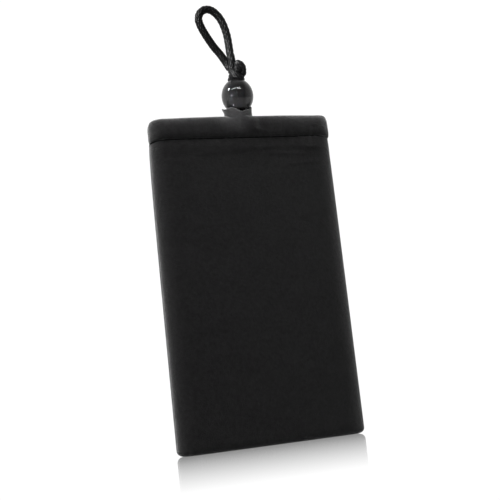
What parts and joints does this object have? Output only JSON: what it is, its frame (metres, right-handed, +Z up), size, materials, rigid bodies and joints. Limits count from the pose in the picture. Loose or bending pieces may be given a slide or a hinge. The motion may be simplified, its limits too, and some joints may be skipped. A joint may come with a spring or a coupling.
{
  "type": "drawstring glasses pouch",
  "caption": "Soft rectangular velvet pouch for glasses, with a hemmed mouth closed by a drawstring that leaves through a round bead, a knot and a loop.",
  "frame": {"origin": "middle of the bottom edge, on the surface that the pouch stands on", "axes": "+Z up from the bottom seam to the mouth, +X to the right seen from the front, -Y out of the front"},
  "size_m": [0.093, 0.021, 0.2195],
  "materials": {
    "velvet": "black short-pile velvet with a pale sheen at grazing angles",
    "lining": "black plain-woven lining cloth",
    "thread": "black sewing thread",
    "cord": "black braided cord, satin",
    "bead": "smoky, slightly see-through, polished"
  },
  "bodies": {
    "pouch": {"outer_back": "velvet", "lining_back": "lining", "hem_back": "velvet", "hem_stitching_back": "thread", "side_seam_left": "thread", "side_seam_right": "thread", "bottom_seam": "thread", "drawstring_back": "cord"},
    "front_wall": {"outer_front": "velvet", "lining_front": "lining", "hem_front": "velvet", "hem_stitching_front": "thread", "drawstring_front_left": "cord", "drawstring_front_right": "cord", "exit_gather": "velvet"},
    "tassel": {"cord_strand_left": "cord", "cord_strand_right": "cord"},
    "bead": {"bead": "bead"},
    "cord_end": {"knot": "cord", "cord_end_front": "cord", "cord_end_right": "cord"},
    "loop": {"loop_cord": "cord"}
  },
  "joints": [
    {"name": "mouth_open", "type": "hinge", "parent": "pouch", "child": "front_wall", "pos_m": [0, -0.0075, 0], "axis": [1, 0, 0], "range_deg": [0, 10], "stiffness_Nm_per_rad": 0.08},
    {"name": "tassel_tilt", "type": "hinge", "parent": "front_wall", "child": "tassel", "pos_m": [0, -0.005, 0.16], "axis": [1, 0, 0], "range_deg": [-40, 90], "stiffness_Nm_per_rad": 0.008},
    {"name": "cord_pull", "type": "slide", "parent": "tassel", "child": "cord_end", "axis": [0, 0, 1], "range_m": [0, 0.025], "deforming": ["cord_strand_left", "cord_strand_right"]},
    {"name": "bead_spin", "type": "hinge", "parent": "tassel", "child": "bead", "pos_m": [0, -0.005, 0.172], "axis": [0, 0, 1], "continuous": true},
    {"name": "loop_swing", "type": "hinge", "parent": "cord_end", "child": "loop", "pos_m": [0.0009, -0.005, 0.1858], "axis": [0, 1, 0], "range_deg": [-35, 60], "stiffness_Nm_per_rad": 0.002}
  ]
}
